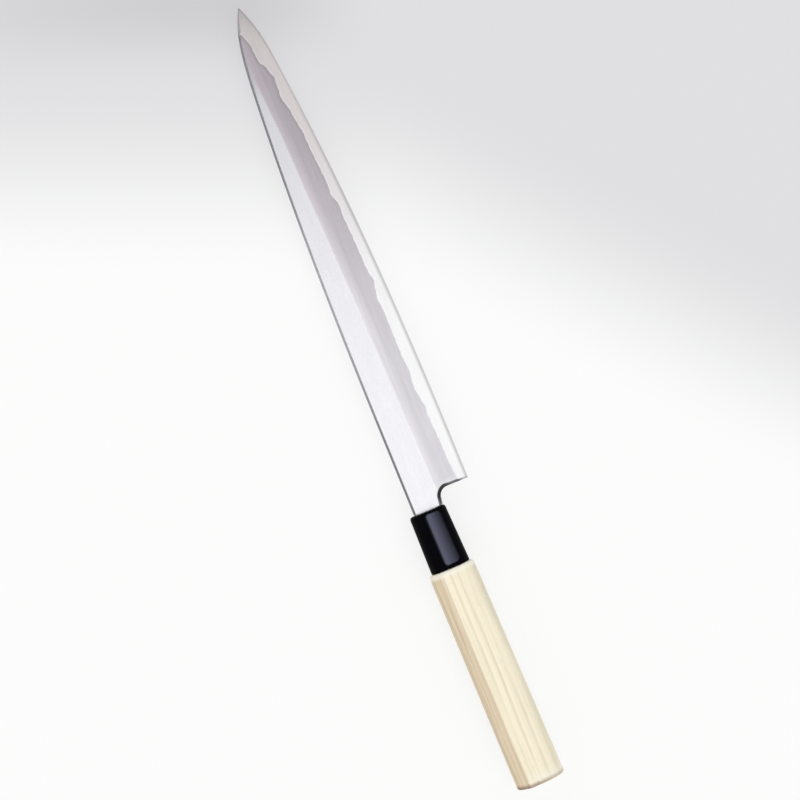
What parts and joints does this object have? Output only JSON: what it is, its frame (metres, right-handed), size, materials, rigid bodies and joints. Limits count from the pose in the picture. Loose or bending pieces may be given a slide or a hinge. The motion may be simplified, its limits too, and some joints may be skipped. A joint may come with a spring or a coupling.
{
  "type": "fuguhiki knife",
  "caption": "Long, narrow single-bevel slicing knife: soft iron forge-welded over edge steel with a hollow back, black horn ferrule and pale oval wooden handle with one ridge.",
  "frame": {"origin": "on the lowest point's level, under the middle of the knife's outline", "axes": "+X along the spine to the tip, +Y towards the spine side, +Z out of the bevelled face"},
  "size_m": [0.4172, 0.037, 0.021],
  "materials": {
    "hazed_soft_iron": "satin, hazed by the polishing stone along the bevel",
    "polished_edge_steel": "polished, finer than the iron above it",
    "black_horn": "polished black horn",
    "pale_magnolia_wood": "bare, finely sanded, straight grain along the handle",
    "dowel_wood": "bare, unsanded",
    "amber_resin": "smooth, set resin"
  },
  "bodies": {
    "root": {"soft_iron_body": "hazed_soft_iron", "edge_steel": "polished_edge_steel", "ferrule": "black_horn", "handle": "pale_magnolia_wood", "dowel": "dowel_wood", "mouth_seal": "amber_resin"}
  },
  "joints": []
}
